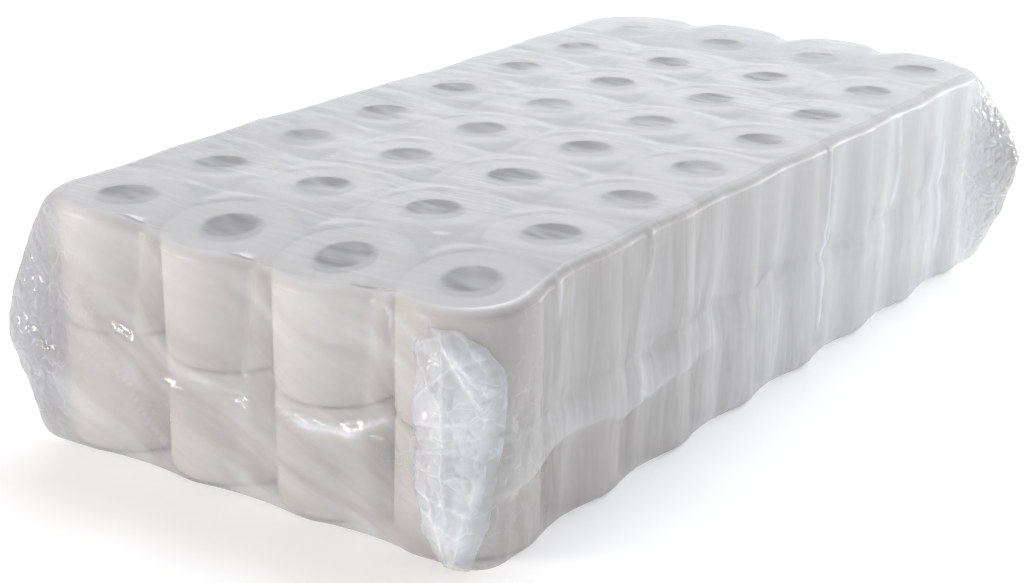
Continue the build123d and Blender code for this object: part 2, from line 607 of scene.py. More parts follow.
def core_tree():
    """Geometry Nodes that stand a wound card core on each place."""
    tree, given = new_geometry_tree("Card core", ("Outer Radius", "Wall", "Width", "Strip"))
    middle = maths(tree, "MULTIPLY_ADD", given["Wall"], -0.5, given["Outer Radius"])
    profile = cut(tree, wall_box(tree, given, given["Wall"]), 3)
    ring = swept_ring(tree, given, middle, profile, CORE_SIDES)
    place = add_node(tree, "GeometryNodeInputPosition").outputs[0]
    split = add_node(tree, "ShaderNodeSeparateXYZ", {0: place}).outputs
    around = maths(tree, "DIVIDE", maths(tree, "ARCTAN2", split["Y"], split["X"]), 2 * math.pi)
    wound = maths(tree, "ADD", around, maths(tree, "DIVIDE", split["Z"], given["Strip"]))
    ring = keep(tree, ring, "wound", wound)
    stand_on_places(tree, given, ring, 0.0)
    return tree


def run_tree(tree, places, values):
    """The plain mesh that a tree makes at the given places."""
    points = bpy.data.meshes.new("places")
    points.from_pydata(places, [], [])
    holder = link("places", points)
    modifier = holder.modifiers.new("nodes", "NODES")
    modifier.node_group = tree
    for item in tree.interface.items_tree:
        if item.name in values:
            modifier[item.identifier] = values[item.name]
    graph = bpy.context.evaluated_depsgraph_get()
    mesh = bpy.data.meshes.new_from_object(holder.evaluated_get(graph), depsgraph=graph)
    holder.modifiers.remove(modifier)
    bpy.data.objects.remove(holder)
    return mesh


def settled_rings(tree, places, values, seed):
    """What a tree makes, moved with the pack, and with its sharp edges kept sharp."""
    mesh = run_tree(tree, places, {**values, "Seed": seed})
    points = np.empty(3 * len(mesh.vertices))
    mesh.vertices.foreach_get("co", points)
    mesh.vertices.foreach_set("co", settle(points.reshape(-1, 3)).ravel())
    mesh.polygons.foreach_set("use_smooth", [True] * len(mesh.polygons))
    mesh.set_sharp_from_angle(angle=SHARP_ANGLE)
    mesh.update()
    return mesh


class PACK_OT_tissue_rolls(bpy.types.Operator):
    """Wind every tissue roll: one piece for each upper roll, and one for each lower row"""

    bl_idname = "pack.tissue_rolls"
    bl_label = "Tissue Rolls"

    def execute(self, context):
        settings = context.scene.pack_rolls
        tree = roll_tree()
        values = {
            "Outer Radius": ROLL_RADIUS - settings.press,
            "Bore Radius": CORE_RADIUS + settings.bore_clearance,
            "Width": ROLL_WIDTH,
            "Rim Radius": settings.rim_radius,
            "Softness": settings.softness,
            "Material": tissue_material(settings),
        }
        for row, y in enumerate(ROW_Y, start=1):
            for column, x in enumerate(COLUMN_X, start=1):
                mesh = settled_rings(tree, [(x, y, UPPER_BASE)], values, 10 * row + column)
                name = f"upper_roll_r{row}_c{column}"
                add_piece(f"tissue.{name}", mesh, "tissue", name)
            places = [(x, y, LOWER_BASE) for x in COLUMN_X]
            mesh = settled_rings(tree, places, values, 100 + row)
            add_piece(f"tissue.lower_row_{row}", mesh, "tissue", f"lower_rolls_row_{row}")
        return {"FINISHED"}


class PACK_OT_card_cores(bpy.types.Operator):
    """Stand a card core in every roll: one piece for each row of a layer"""

    bl_idname = "pack.card_cores"
    bl_label = "Card Cores"

    def execute(self, context):
        settings = context.scene.pack_cores
        tree = core_tree()
        values = {
            "Outer Radius": CORE_RADIUS,
            "Wall": settings.wall,
            "Width": ROLL_WIDTH,
            "Strip": settings.strip,
            "Material": card_material(settings),
        }
        for layer, base in (("upper", UPPER_BASE), ("lower", LOWER_BASE)):
            for row, y in enumerate(ROW_Y, start=1):
                places = [(x, y, base) for x in COLUMN_X]
                mesh = settled_rings(tree, places, values, 200 + row)
                add_piece(f"card.{layer}_row_{row}", mesh, "core_card", f"{layer}_cores_row_{row}")
        return {"FINISHED"}


# ---- film bag -------------------------------------------------------------------------
STEPS_ACROSS = 108  # faces of the film across the pack
STEPS_ALONG = 236  # along it, where the wrinkles are close together
STEPS_UP = 56  # up a side
EDGE_STEPS = 4  # round the top and bottom edges
EDGE_RADIUS = 0.0075
TOP_CORNER_RADIUS = 0.050  # in plan, where the film goes round the corner rolls
FLOOR_CORNER_RADIUS = 0.020
EDGE_PULL = 0.045  # how far in from an edge the top is drawn in with it

HOLE_EDGE = 15 * MM  # over which the film dips into a core
GAP_START, GAP_RUN = 46.5 * MM, 24 * MM  # from a roll's middle to where the film sags
SEAM_PINCH = 6.2 * MM  # half height of the pinch between the layers
END_SLOPE = math.radians(24)  # of the folds of a short end
RIM_NOTCH = 3 * MM  # dip of a short end's rim between two columns
POCKET_LIP, POCKET_DEPTH = 66 * MM, 4.2 * MM  # height and bulge of the sides' pockets
POCKET_ABOVE, POCKET_BELOW = 28 * MM, 4.5 * MM  # over which a pocket fades
CRUMPLE_REACH = 80 * MM  # from an upright corner to calm film
STOP_SOFTNESS = 2.2 * MM  # how gently the film comes to rest on a roll
FLOOR_GAP = 0.3 * MM  # lowest the film may hang


def half_side(reach, other, radius, steps):
    """One side of a rounded rectangle, from corner middle to corner middle: places along
    the side, places out from the centre, and the turn of the outward normal."""
    straight = reach - radius
    total = straight + radius * math.pi / 4
    run = np.linspace(-total, total, steps + 1)
    turn = np.clip((np.abs(run) - straight) / radius, 0, None) * np.sign(run)
    along = np.clip(run, -straight, straight) + radius * np.sin(turn)
    out = other - radius * (1 - np.cos(turn))
    return along, out, turn


def corner_radius(share):
    """Radius of the film's upright corners in plan, at a share of its height."""
    return TOP_CORNER_RADIUS * share + FLOOR_CORNER_RADIUS * (1 - share)


def plan_loop(inset, radius):
    """Plan of the film, anticlockwise from the front left corner: points and normals."""
    points, normals = [], []
    sides = (
        (HALF_WIDTH, HALF_LENGTH, STEPS_ACROSS, -90),
        (HALF_LENGTH, HALF_WIDTH, STEPS_ALONG, 0),
        (HALF_WIDTH, HALF_LENGTH, STEPS_ACROSS, 90),
        (HALF_LENGTH, HALF_WIDTH, STEPS_ALONG, 180),
    )
    for reach, other, steps, facing in sides:
        along, out, turn = half_side(reach - inset, other - inset, radius - inset, steps)
        angle = math.radians(facing)
        cos, sin = math.cos(angle), math.sin(angle)
        points.append(np.c_[out * cos - along * sin, out * sin + along * cos][:-1])
        normals.append(np.c_[np.cos(turn + angle), np.sin(turn + angle)][:-1])
    return np.vstack(points), np.vstack(normals)


def fill_plan(loop):
    """Points of a flat grid inside a plan loop, by blending its four sides."""
    a, b = STEPS_ACROSS, STEPS_ALONG
    closed = np.vstack((loop, loop[:1]))
    front, right = closed[: a + 1], closed[a : a + b + 1]
    rear, left = closed[a + b : 2 * a + b + 1][::-1], closed[2 * a + b :][::-1]
    u = np.linspace(0, 1, a + 1)[:, None, None]
    v = np.linspace(0, 1, b + 1)[None, :, None]
    sides = front[:, None] * (1 - v) + rear[:, None] * v + left[None] * (1 - u) + right[None] * u
    corners = (
        front[0] * (1 - u) * (1 - v) + front[-1] * u * (1 - v) + rear[0] * (1 - u) * v
        + rear[-1] * u * v
    )
    return sides - corners


def cap_index(start, ring, count):
    """Numbers of a cap's points: the inside is new, and the rim is a ring's own points."""
    a, b = STEPS_ACROSS, STEPS_ALONG
    index = np.zeros((a + 1, b + 1), int)
    index[:, 0] = np.arange(a + 1)
    index[-1, :] = a + np.arange(b + 1)
    index[:, -1] = (a + b + np.arange(a + 1))[::-1]
    index[0, 1:] = (2 * a + b + np.arange(b))[::-1]
    index = ring * count + index % count
    index[1:-1, 1:-1] = start + np.arange((a - 1) * (b - 1)).reshape(a - 1, b - 1)
    return index


def quads(index):
    """Faces of a grid of point numbers."""
    corners = (index[:-1, :-1], index[1:, :-1], index[1:, 1:], index[:-1, 1:])
    return np.stack(corners, -1).reshape(-1, 4)


def film_rings():
    """The rings that make the film's sides, top ring first: inset, height, normal's rise."""
    edge = [
        (EDGE_RADIUS * (1 - math.sin(turn)), EDGE_RADIUS * (1 - math.cos(turn)), math.cos(turn))
        for turn in np.linspace(0, math.pi / 2, EDGE_STEPS + 1)
    ]
    walls = np.linspace(FILM_TOP - EDGE_RADIUS, EDGE_RADIUS, STEPS_UP + 1)[1:-1]
    return (
        [(inset, FILM_TOP - drop, rise) for inset, drop, rise in edge]
        + [(0.0, height, 0.0) for height in walls]
        + [(inset, drop, -rise) for inset, drop, rise in edge[::-1]]
    )


def film_form():
    """The taut form of the film, before it drapes: points, normals, which way is outward in
    plan, and faces."""
    points, normals, outward = [], [], []
    for inset, height, rise in film_rings():
        plan, out = plan_loop(inset, corner_radius(height / FILM_TOP))
        points.append(np.c_[plan, np.full(len(plan), height)])
        level = math.sqrt(max(0.0, 1 - rise * rise))
        normals.append(np.c_[out * level, np.full(len(plan), rise)])
        outward.append(out)
    rings, count = len(points), len(points[0])
    index = np.arange(rings * count).reshape(rings, count)
    index = np.hstack((index, index[:, :1]))
    faces = [quads(index.T[:, ::-1])]
    start = rings * count
    for ring, rise in ((0, 1.0), (rings - 1, -1.0)):
        cap = quads(cap_index(start, ring, count))
        faces.append(cap if rise > 0 else cap[:, ::-1])
        inside = fill_plan(points[ring][:, :2])[1:-1, 1:-1].reshape(-1, 2)
        points.append(np.c_[inside, np.full(len(inside), points[ring][0, 2])])
        normals.append(np.tile((0.0, 0.0, rise), (len(inside), 1)))
        margin = np.array((HALF_WIDTH, HALF_LENGTH)) - np.abs(inside)
        pull = climb(margin, EDGE_PULL, -EDGE_PULL) * np.sign(inside)
        outward.append(pull / np.maximum(1, np.linalg.norm(pull, axis=1))[:, None])
        start += len(inside)
    return np.vstack(points), np.vstack(normals), np.vstack(outward), np.vstack(faces)


def roll_recess(offset):
    """How far a row's outline falls back at some distance from its nearest roll's middle."""
    return ROLL_RADIUS - np.sqrt(np.clip(ROLL_RADIUS**2 - offset**2, 0, None))


def bridging(offset, valley):
    """How far film sags where it bridges the gap beside a roll, never into the roll."""
    recess = roll_recess(offset)
    return recess * valley / (recess + valley)


def nearest_offset(values, middles):
    """Distance to the nearest of some evenly spaced lines, 0 beyond the outer ones."""
    held = np.clip(values, middles[0], middles[-1])
    return np.abs((held - middles[0] + PITCH / 2) % PITCH - PITCH / 2)


EARS = (  # corner signs, reach out, reach along, height of the tip as a share, base width
    (-1, -1, 0.033, 0.006, 0.50, 0.040),
    (-1, 1, 0.022, 0.018, 0.50, 0.030),
    (1, 1, 0.036, 0.016, 0.52, 0.034),
)
EAR_ROOT = 12 * MM  # from the upright corner in to an ear's middle


def ears(points):
    """Push of each point into the ears, and how much it is part of one."""
    x, y, z = points.T
    push = np.zeros_like(points)
    share = np.zeros(len(points))
    for sign_x, sign_y, out, along, tip, width in EARS:
        below, above = z / (tip * FILM_TOP), (FILM_TOP - z) / ((1 - tip) * FILM_TOP)
        height = np.clip(np.minimum(below, above), 0, 1)
        corner = (sign_x * (HALF_WIDTH - EAR_ROOT), sign_y * (HALF_LENGTH - EAR_ROOT))
        away = np.hypot(x - corner[0], y - corner[1])
        near = np.clip(1 - away / width, 0, 1) ** 1.4
        lift = height**0.65 * near
        push[:, 0] += sign_x * out * lift
        push[:, 1] += sign_y * along * lift
        share = np.maximum(share, height**0.5 * np.clip(1.5 * near, 0, 1))
    return push, share


PLEATS = (  # place along a long side, lowest and highest share, height and half width in mm
    (0.076, 0.10, 1.00, 4.2, 2.6),
    (0.088, 0.45, 0.80, 2.6, 1.8),
    (-0.327, 0.80, 1.00, 3.6, 2.6),
    (-0.205, 0.76, 1.00, 3.6, 2.4),
    (-0.212, 0.20, 0.45, 2.6, 2.2),
    (0.215, 0.50, 0.95, 2.6, 2.6),
    (0.318, 0.15, 0.70, 2.8, 2.4),
)


def pleats(at):
    """Height of the sharp upright pleats of the long sides; the left side mirrors the right
    one's, a little shifted."""
    rise = np.zeros_like(at.y)
    for place, low, high, height, half in PLEATS:
        wander = place + 0.006 * line_noise(at.share / 0.22 + 40 * place, 0.4, 101)
        span = climb(at.share, low, 0.12) * climb(at.share, high + 0.06, -0.12)
        beside = np.abs(at.y - np.where(at.x > 0, wander, -wander - 0.03)) / (half * MM)
        rise += height * MM * span * np.exp(-beside)
    return rise * at.side * at.level


END_FOLDS = (  # from and to, in m across and up a short end; half width and height in mm; how much darker the film is painted there: painted shade above 0, partly the doubled film's own denser tone, and painted highlight below 0
    # how much darker the doubled film is there
    (-0.118, 0.108, 0.170, 0.002, 8.5, 3.0, 0.85),
    (-0.150, 0.125, -0.083, 0.036, 6.0, 3.0, 0.36),
    (-0.080, 0.132, 0.045, 0.084, 5.0, 2.4, 0.20),
    (0.034, 0.092, 0.150, 0.012, 6.0, 3.0, 0.42),
    (-0.055, 0.070, 0.060, 0.006, 5.0, 2.6, 0.26),
    (-0.035, 0.180, 0.010, 0.140, 4.0, 1.6, 0.0),
    (0.090, 0.186, 0.140, 0.120, 4.0, 2.0, 0.0),
    (0.036, 0.095, 0.064, 0.088, 3.0, 2.0, -0.70),
    (0.064, 0.088, 0.098, 0.090, 3.0, 2.0, -0.80),
    (0.098, 0.090, 0.122, 0.101, 3.0, 2.0, -0.60),
    (-0.120, 0.092, -0.074, 0.036, 3.6, 1.6, -0.32),
    (-0.040, 0.098, -0.006, 0.092, 3.2, 1.4, -0.40),
    (0.112, 0.182, 0.150, 0.166, 3.4, 2.4, -0.35),
    (0.120, 0.176, 0.128, 0.148, 3.2, 2.2, -0.35),
    (0.146, 0.186, 0.186, 0.166, 3.4, 2.4, -0.30),
)


def ridge(x, z, start, stop, half_width):
    """1 along a straight fold line, falling to 0 beside it and past its ends."""
    run = np.array(stop) - np.array(start)
    length = np.hypot(*run)
    along = ((x - start[0]) * run[0] + (z - start[1]) * run[1]) / length
    beside = ((x - start[0]) * run[1] - (z - start[1]) * run[0]) / length
    past = np.maximum(np.maximum(-along, along - length), 0)
    return np.exp(-np.hypot(beside / half_width, past / 0.006))


def end_folds(at):
    """Height of the folds of a short end, and the painted shade along them, partly the doubled
    film's own denser tone, which turns to painted highlight where it is below 0.
    """
    x = np.where(at.y < 0, at.x, -at.x)  # the back's folds mirror the front's
    across = x + 0.004 * soft_noise(at.z / 0.035, x / 0.05, 103)
    up = at.z + 0.004 * soft_noise(x / 0.045, at.z / 0.05, 107)
    rise, dark = np.zeros_like(x), np.zeros_like(x)
    for x0, z0, x1, z1, half, height, depth in END_FOLDS:
        line = ridge(across, up, (x0, z0), (x1, z1), half * MM)
        rise += height * MM * line
        dark += depth * line
    return rise * at.end * at.level, dark * at.end * at.level


def survey(points, normals, outward):
    """What the drape goes by at each point of the taut film, by name."""
    x, y, z = points.T
    rise = normals[:, 2]
    share = z / FILM_TOP
    level = 1 - rise * rise  # 1 on the walls, 0 on the flats
    side, end = outward[:, 0] ** 2, outward[:, 1] ** 2  # parts of the long and short sides
    down = np.where(np.abs(rise) > 0.99, 0.0, FILM_TOP - z)
    around = x + np.sign(x) * down  # way round the bag from the middle of the top
    column = np.clip(np.round((x - COLUMN_X[0]) / PITCH), 0, COLUMNS - 1)
    row = np.clip(np.round((y - ROW_Y[0]) / PITCH), 0, ROWS - 1)
    return SimpleNamespace(
        x=x, y=y, z=z, share=share, level=level, side=side, end=end, around=around,
        up=np.clip(rise, 0, 1),
        from_axis=np.hypot(x - COLUMN_X[0] - column * PITCH, y - ROW_Y[0] - row * PITCH),
        across=nearest_offset(x, COLUMN_X),
        along=nearest_offset(y, ROW_Y),
        belly=np.sin(math.pi * np.clip(share, 0, 1)),
        patchy=patches(soft_noise(y / 0.10, around / 0.12, 37)),
        inside=climb(np.abs(x), HALF_WIDTH, -0.04) * climb(np.abs(y), HALF_LENGTH, -0.04),
        slanting=smooth_step(1.4 * end * level),
        wall=smooth_step(1.2 * level),
        length=y / (2 * HALF_LENGTH) + 0.5,
    )


def top_sag(at, settings):
    """Drop of the top over the cores and between four rolls."""
    uneven = 1 + 0.25 * soft_noise(at.x / 0.07 + 3, at.y / 0.08 + 3, 11)
    hole = settings.hole_sag * climb(at.from_axis, CORE_RADIUS, -HOLE_EDGE)
    gap = settings.gap_sag * climb(at.from_axis, GAP_START, GAP_RUN) * at.inside
    return (hole + gap) * uneven * at.up


def side_sag(at, settings):
    """How far a long side is drawn in: valleys between the rolls, gathered at mid height
    and pinched where the layers meet."""
    wander = 0.004 * line_noise(at.y / 0.055 + 5, 0.7, 89)
    pinch = bell(at.z, SEAM_HEIGHT + wander, SEAM_PINCH)
    nip = (1 + 2 * patches(line_noise(at.y / 0.045, 0.3, 59))) * MM
    gather = 0.3 + 0.6 * patches(line_noise(at.y / 0.10 + 2, 0.2, 97))
    hold = 0.85 + 0.15 * np.abs(2 * at.share - 1) + gather * bell(at.share, 0.52, 0.11)
    hold *= 1 - 0.65 * at.share**2
    return (bridging(at.along, settings.valley) * hold + nip * pinch) * at.side


def end_slack(at, ear, settings):
    """How far a short end stands out: loose at mid height, drawn in between the columns."""
    drawn = 4 * MM + settings.end_valley * climb(at.share, 0.30, 0.62)
    slack = np.sin(math.pi * np.clip(at.share, 0, 1) ** 0.8)
    wave = patches(soft_noise(at.x / 0.085 + 20, at.z / 0.11 + 20, 17))
    bulge = np.where(at.y < 0, 1.5 + 6.5 * wave, 17 + 11 * wave) * MM
    tuck = 1.2 * MM * bell(at.z, SEAM_HEIGHT - MM, SEAM_PINCH) * (1 - ear)
    return (slack * bulge - bridging(at.across, drawn) - tuck) * at.end


def far_slack(at):
    """Loose film of the left side and of the far rim: how far it stands out and up."""
    far = climb(at.y, 0.30, 0.10) * climb(np.abs(at.x), HALF_WIDTH, -0.12)
    left = climb(-at.x, 0.12, 0.08)
    ripple = patches(soft_noise(at.y / 0.09, at.z / 0.12, 19))
    out = 3 * MM * (at.x < 0) * at.side * at.belly * ripple
    out += at.share**2 * (4 * left * at.side + 10 * far * at.end * (at.y > 0)) * MM
    uneven = 1 + 0.4 * soft_noise(at.y / 0.08, at.x / 0.1, 23)
    return out, at.up * (6 * far + 4.2 * left * uneven) * MM


def wrinkles(at, settings):
    """Height of the wrinkles: across the top and down the long sides, and slanting on the
    short ends."""
    bent = at.y + 0.010 * soft_noise(at.y / 0.12, at.around / 0.06, 83)
    broad = 0.9 * creases(bent / 0.042, at.around / 0.10, 29, 1.6)
    close = 0.85 * creases(bent / 0.017, at.around / 0.045, 31)
    streak = broad + close * smooth_step(2.2 * at.patchy - 0.7)
    falling = at.x * math.sin(END_SLOPE) + at.z * math.cos(END_SLOPE)
    running = at.x * math.cos(END_SLOPE) - at.z * math.sin(END_SLOPE)
    fold = 5.4 * creases(falling / 0.052, running / 0.26, 43, 3.0)
    fine = 1.6 * creases(falling / 0.019, running / 0.08, 47, 2.6)
    low = 0.35 + 0.65 * climb(at.share, 0.72, -0.35)
    on_end = (fold + fine) * (0.25 + 0.75 * at.belly) * low
    on_wall = 0.72 * streak * (1 - at.slanting) + on_end * at.slanting
    return settings.streak * (0.50 * streak * at.up * (1 - at.level) + on_wall * at.level)


def pockets(at):
    """Pockets of the long sides, where the film bellies out over a wavy lip: how much of
    one each point is, and how much it lies below the lip."""
    lip = at.z - POCKET_LIP - 0.009 * line_noise(at.y / 0.034, 0.6, 109)
    fall = np.where(lip > 0, np.exp(-lip / POCKET_ABOVE), np.exp(lip / POCKET_BELOW))
    loose = at.side * at.level * (0.05 + 0.95 * climb(-at.y * np.sign(at.x), 0.08, 0.10))
    return fall * loose, loose * climb(lip, 0, -6 * MM)


def clear_of_rolls(at, out):
    """The outward push, held softly just off the rolls' own surface."""
    stop = 0.3 * MM - roll_recess(at.across) * at.end - roll_recess(at.along) * at.side
    held = stop + 0.5 * (out - stop + np.hypot(out - stop, STOP_SOFTNESS))
    return out + (held - out) * smooth_step(1.6 * at.level) * np.maximum(at.end, 0.25 * at.side)


def film_haze(at, settings):
    """How milky calm film is: more towards the back and where it is off the rolls."""
    lifted = climb(at.from_axis, 0.042, 0.010)
    open_core = climb(at.from_axis, CORE_RADIUS + MM, -4 * MM)
    stripes = soft_noise((at.y + 0.3 * at.x) / 0.0065, (at.x - 0.3 * at.y) / 0.030, 113)
    top = settings.top_haze + 0.03 * at.length + 0.06 * lifted * at.inside - 0.21 * open_core
    beside = climb(at.along, 0.030, 0.020) * (1 - at.slanting)
    beside += climb(at.across, 0.030, 0.020) * at.slanting
    side = settings.side_haze + 0.14 * at.length
    wall = side + 0.16 * beside + (settings.end_haze - side) * at.slanting
    haze = top * (1 - at.wall) + wall * at.wall
    return haze + 0.05 * (at.patchy - 0.5) + 0.16 * open_core * at.up * stripes


def drape(points, normals, outward, settings):
    """Lays the taut film over the rolls: where each point goes, and the looks of the film
    there, by name."""
    at = survey(points, normals, outward)
    push, ear = ears(points)
    from_corner = np.hypot(HALF_WIDTH - np.abs(at.x), HALF_LENGTH - np.abs(at.y))
    crumpled = np.clip(1 - from_corner / CRUMPLE_REACH, 0, 1) * at.level
    crumpled *= 0.3 + 0.7 * at.belly
    wrinkle, pleat = wrinkles(at, settings), pleats(at)
    fold, fold_shade_and_glint = end_folds(at)
    pocket, below = pockets(at)

    slack_out, slack_up = far_slack(at)
    notch = climb(at.across, 0.028, 0.022) * (np.abs(at.x) < COLUMN_X[-1])
    lift = slack_up - top_sag(at, settings) + wrinkle * at.up * (1 - at.level)
    lift -= RIM_NOTCH * notch * at.end * at.share**6
    crumple = 4 * MM * creases((at.x + at.y) / 0.016, (at.z + 0.4 * at.x) / 0.019, 53, 1.5)
    out = end_slack(at, ear, settings) - side_sag(at, settings) + slack_out
    out += (wrinkle + crumple * crumpled + 0.6 * MM) * at.level
    out += pleat + fold + POCKET_DEPTH * pocket
    moved = points + push
    moved[:, :2] += outward * clear_of_rolls(at, out)[:, None]
    moved[:, 2] = np.maximum(moved[:, 2] + lift, FLOOR_GAP)

    haze = film_haze(at, settings) + 0.34 * ear + 0.10 * crumpled * (1 - at.up)
    haze += 0.55 * np.abs(fold_shade_and_glint) + 0.12 * pocket + 80 * pleat - 0.08 * below
    # Painted light and shade of the film's colour, below: rounded rims rougher and painted darker
    # (painted shade); the near left ear painted darker and bluer (painted shade); painted
    # highlights on the pockets' bulges and the pleats' crests; painted shade under the pockets'
    # lips; painted shade along the ends' dark folds, partly the doubled film's own denser tone,
    # and painted highlights along their bright ones; the long sides and the top painted lighter
    # towards the back; the back ears and the front's right columns painted darker.
    rubbed_and_rim_shade = np.clip(4 * at.up * at.up * (1 - at.up * at.up), 0, 1) * (1 - ear)
    front = at.end * (at.y < 0)
    cool_shade = np.clip(1.3 * ear + 0.6 * crumpled, 0, 1) * ((at.y < 0) & (at.x < 0))
    painted_brightness = 0.14 * pocket - 0.08 * below - 0.90 * fold_shade_and_glint - 0.22 * rubbed_and_rim_shade * (1 - front)
    painted_brightness += 200 * pleat * smooth_step(2 * at.patchy - 0.4)
    painted_brightness += (0.62 * at.length - 0.30) * at.side * at.wall * (1 - at.slanting)
    painted_brightness += 0.10 * at.length * at.up - 0.25 * ear * (at.y > 0) - 0.72 * cool_shade
    right = climb(at.x, 0.08, 0.06) * climb(at.share, 0, 0.6)
    painted_brightness -= 0.26 * right * front * at.level
    looks = {
        "folded": np.clip(ear + 0.8 * crumpled, 0, 1),
        "slanting": at.slanting,
        "haze": np.clip(haze, 0, 0.97),
        "painted_light_and_tone": painted_brightness,
        "rubbed_and_rim_shade": rubbed_and_rim_shade,
        "cool_shade": cool_shade,
    }
    return moved, looks


FLAP_STEPS = (44, 100)  # faces across and up the folded ear
FLAP_FOOT, FLAP_HEIGHT = 6 * MM, 172 * MM
FLAP_LEFT = (  # share of the height, and place across the pack, of the left outline
    (0.0, 0.178), (0.13, 0.164), (0.42, 0.155), (0.70, 0.152), (0.93, 0.150), (1.0, 0.160),
)
FLAP_RIGHT = (
    (0.0, 0.196), (0.2, 0.2035), (0.4, 0.2047), (0.72, 0.2047), (0.84, 0.202), (0.93, 0.194),
    (1.0, 0.178),
)
FLAP_LIMIT = 12 * MM  # highest its creases may stand
FLAP_RIDGES = (  # from and to, as shares across and up; height; half width, both in mm
    (0.50, 0.99, 1.00, 0.72, 4.0, 2.4),
    (0.58, 0.93, 0.94, 0.66, 3.0, 1.8),
    (0.02, 0.93, 0.55, 0.98, 3.0, 2.0),
    (0.05, 0.62, 0.60, 0.64, 3.0, 2.2),
    (0.00, 0.50, 0.52, 0.53, 3.4, 1.8),
    (0.50, 0.90, 0.54, 0.26, 2.6, 1.2),
    (0.08, 0.72, 0.48, 0.84, 3.0, 1.6),
    (0.12, 0.88, 0.46, 0.70, 3.2, 1.5),
    (0.06, 0.56, 0.50, 0.58, 2.6, 1.2),
    (0.05, 0.45, 0.60, 0.42, 2.4, 1.6),
    (0.10, 0.36, 0.95, 0.26, 3.5, 2.4),
    (0.05, 0.30, 0.50, 0.20, 3.6, 2.2),
    (0.30, 0.34, 0.42, 0.02, 3.5, 2.4),
    (0.90, 0.40, 0.70, 0.06, 3.0, 2.2),
)


def flap_place(u, v):
    """Place on the folded ear at shares across and up it: across the pack, and height."""
    left, right = np.interp(v, *zip(*FLAP_LEFT)), np.interp(v, *zip(*FLAP_RIGHT))
    return left * (1 - u) + right * u, FLAP_FOOT + FLAP_HEIGHT * v


def flap_creases(u, v, x, z, low):
    """How far the folded ear's creases stand out, and where the sharp ones run."""
    rim = climb(np.minimum(u, 1 - u), 0, 0.12) * climb(np.minimum(v, 1 - v), 0, 0.05)
    smooth = climb(u, 0.50, 0.20) * climb(v, 0.22, 0.12)
    broad = creases((x - 0.55 * z) / 0.024, (z + 0.3 * x) / 0.055, 67, 1.7)
    sharp = creases((z + 0.25 * x) / 0.011, (x - 0.2 * z) / 0.022, 71, 2.2)
    rough = (1 - 0.8 * smooth) * (3 * broad + 5 * sharp * (0.35 + 0.65 * low))
    rise, crest = (2 + rim * rough) * MM, np.zeros_like(x)
    for u0, v0, u1, v1, height, half in FLAP_RIDGES:
        ends = flap_place(u0, v0), flap_place(u1, v1)
        rise += 1.4 * height * MM * ridge(x, z, *ends, half * MM) * (0.3 + 0.7 * rim)
        crest += ridge(x, z, *ends, 0.4 * half * MM) * (0.2 + 0.8 * rim)
    return FLAP_LIMIT * np.tanh(rise / FLAP_LIMIT), np.clip(crest, 0, 1), smooth


def flap_form():
    """The near right ear, folded flat against the short end and crumpled: a closed thin
    shell that narrows to a tail at the floor. Points, faces, how milky it is and where its
    sharp folds run."""
    across, up = FLAP_STEPS
    u, v = np.meshgrid(np.linspace(0, 1, across + 1), np.linspace(0, 1, up + 1), indexing="ij")
    x, z = flap_place(u, v)
    x += 3.5 * MM * line_noise(v / 0.09, 0.5, 61) * (1 - u)
    low = climb(v, 0.62, -0.25)
    rise, crest, smooth = flap_creases(u, v, x, z, low)
    share = z / FILM_TOP
    radius = corner_radius(share)
    past = np.clip(x - (HALF_WIDTH - radius), 0, 0.999 * radius)
    back = np.minimum(radius - np.sqrt(radius**2 - past**2), 30 * MM)
    stand_off = (3 + 8.5 * np.sin(math.pi * share) + 3.5 * low) * MM
    surface = back - HALF_LENGTH - stand_off
    front = np.stack((x, surface - rise, z), -1).reshape(-1, 3)
    rear = np.stack((x, surface - 0.30 * rise + 0.4 * MM, z), -1).reshape(-1, 3)
    size = (across + 1) * (up + 1)
    index = np.arange(size).reshape(across + 1, up + 1)
    faces = [quads(index), quads(index + size)[:, ::-1]]
    rim_loop = np.concatenate((index[:-1, 0], index[-1, :-1], index[:0:-1, -1], index[0, :0:-1]))
    after = np.roll(rim_loop, -1)
    faces.append(np.stack((rim_loop, rim_loop + size, after + size, after), -1))
    body = 0.15 + 0.50 * climb(u, 0, 0.35) + 0.28 * smooth
    body *= 0.3 + 0.7 * climb(np.minimum(v, 1 - v), 0, 0.12)
    body *= 0.45 + 0.55 * climb(u, 1, -0.14)
    looks = (np.tile(value.ravel(), 2) for value in (body, crest))
    return np.vstack((front, rear)), np.vstack(faces), *looks


class PACK_OT_film_bag(bpy.types.Operator):
    """Wrap the rolls in one film bag with ears at its corners"""

    bl_idname = "pack.film_bag"
    bl_label = "Film Bag"

    def execute(self, context):
        settings = context.scene.pack_film
        material = film_material(settings)
        points, normals, outward, faces = film_form()
        moved, looks = drape(points, normals, outward, settings)
        mesh = make_mesh("film", settle(moved), faces)
        for name, values in looks.items():
            store(mesh, name, values)
        mesh.materials.append(material)
        bag = add_piece("film.bag", mesh, "film", "film_bag")
        points, faces, body, crest = flap_form()
        mesh = make_mesh("folded_ear", settle(points), faces)
        looks = {
            "folded": 0.9,
            "slanting": 1.0,
            "haze": np.clip(settings.ear_haze * body + 0.25 * crest, 0, 0.97),
            # Lighter where the ear is milkier, with painted highlights along its sharp folds.
            "painted_light_and_tone": 0.9 * (body + crest),
            "rubbed_and_rim_shade": -0.14,
            "cool_shade": 0.12,
        }
        for name, values in looks.items():
            store(mesh, name, values)
        mesh.materials.append(material)
        ear = add_piece("film.folded_ear", mesh, "film")
        for piece in (bag, ear):
            piece.visible_shadow = False  # so thin a film scatters light on, and stops little
        return {"FINISHED"}


